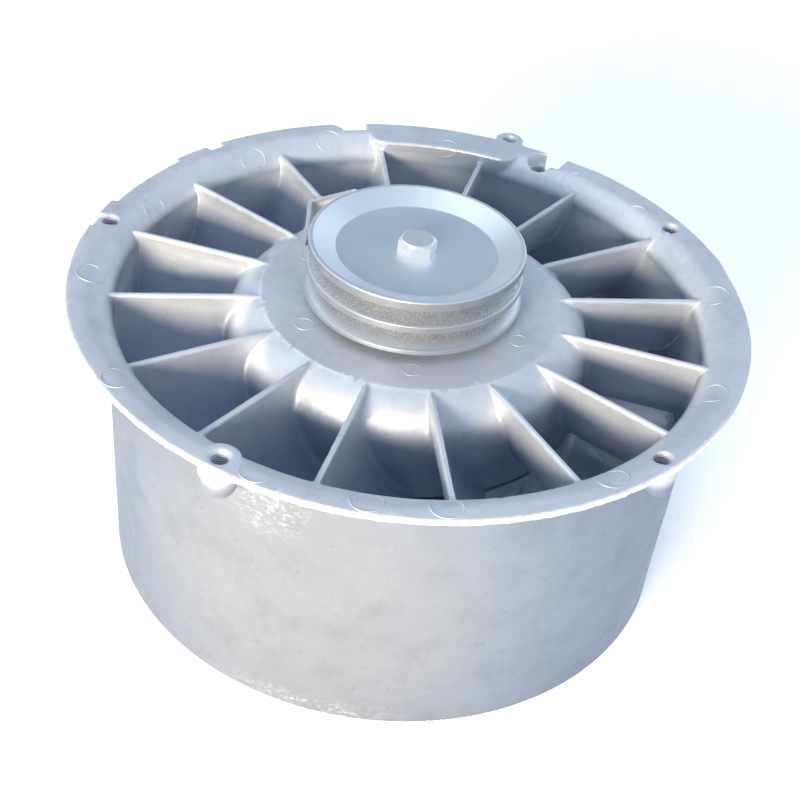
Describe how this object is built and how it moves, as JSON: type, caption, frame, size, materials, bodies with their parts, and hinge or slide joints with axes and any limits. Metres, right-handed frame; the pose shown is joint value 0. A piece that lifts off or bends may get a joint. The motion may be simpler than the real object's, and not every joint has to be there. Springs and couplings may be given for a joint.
{
  "type": "axial cooling blower",
  "caption": "Belt-driven axial cooling blower: cast inlet flange and shroud with guide vanes around a hub, a grooved belt pulley in front and a bladed rotor behind.",
  "frame": {"origin": "centre of the shroud's outlet rim, in the plane of the rim", "axes": "+Z along the rotor's axis, from the outlet rim to the pulley; +X and +Y are across the axis, and the ear on the flange is near +Y"},
  "size_m": [0.38, 0.3856, 0.2056],
  "materials": {
    "cast_aluminium": "satin cast skin",
    "pulley_metal": "satin, fine-blasted, with machined rims",
    "zinc_steel": "zinc plated",
    "shaft_steel": "ground",
    "bearing_steel": "polished",
    "cage_steel": "pressed sheet",
    "spring_steel": "phosphated",
    "seal_rubber": "matte"
  },
  "bodies": {
    "casing": {"casing": "cast_aluminium", "guide_vanes": "cast_aluminium", "stator_hub": "cast_aluminium", "front_shaft_seal": "seal_rubber", "rear_shaft_seal": "seal_rubber", "bearing_circlip": "spring_steel", "front_outer_race": "bearing_steel", "rear_outer_race": "bearing_steel", "front_shields": "bearing_steel", "rear_shields": "bearing_steel"},
    "rotor": {"front_inner_race": "bearing_steel", "rear_inner_race": "bearing_steel", "shaft": "shaft_steel", "bearing_spacer": "shaft_steel", "pulley_spacer": "shaft_steel", "pulley": "pulley_metal", "pulley_key": "shaft_steel", "pulley_bolt": "zinc_steel", "impeller_hub": "cast_aluminium", "impeller_blades": "cast_aluminium", "impeller_key": "shaft_steel", "impeller_collar": "shaft_steel", "impeller_washer": "zinc_steel", "impeller_nut": "zinc_steel"},
    "front_bearing_cage": {"front_balls": "bearing_steel", "front_cage": "cage_steel"},
    "rear_bearing_cage": {"rear_balls": "bearing_steel", "rear_cage": "cage_steel"}
  },
  "joints": [
    {"name": "rotor_spin", "type": "hinge", "parent": "casing", "child": "rotor", "pos_m": [0, 0, 0.1277], "axis": [0, 0, 1], "continuous": true},
    {"name": "front_cage_spin", "type": "hinge", "parent": "casing", "child": "front_bearing_cage", "pos_m": [0, 0, 0.1462], "axis": [0, 0, 1], "continuous": true},
    {"name": "rear_cage_spin", "type": "hinge", "parent": "casing", "child": "rear_bearing_cage", "pos_m": [0, 0, 0.1092], "axis": [0, 0, 1], "continuous": true}
  ],
  "couplings": [
    {"joint": "front_cage_spin", "follows": "rotor_spin", "ratio": 0.3824},
    {"joint": "rear_cage_spin", "follows": "rotor_spin", "ratio": 0.3824}
  ]
}
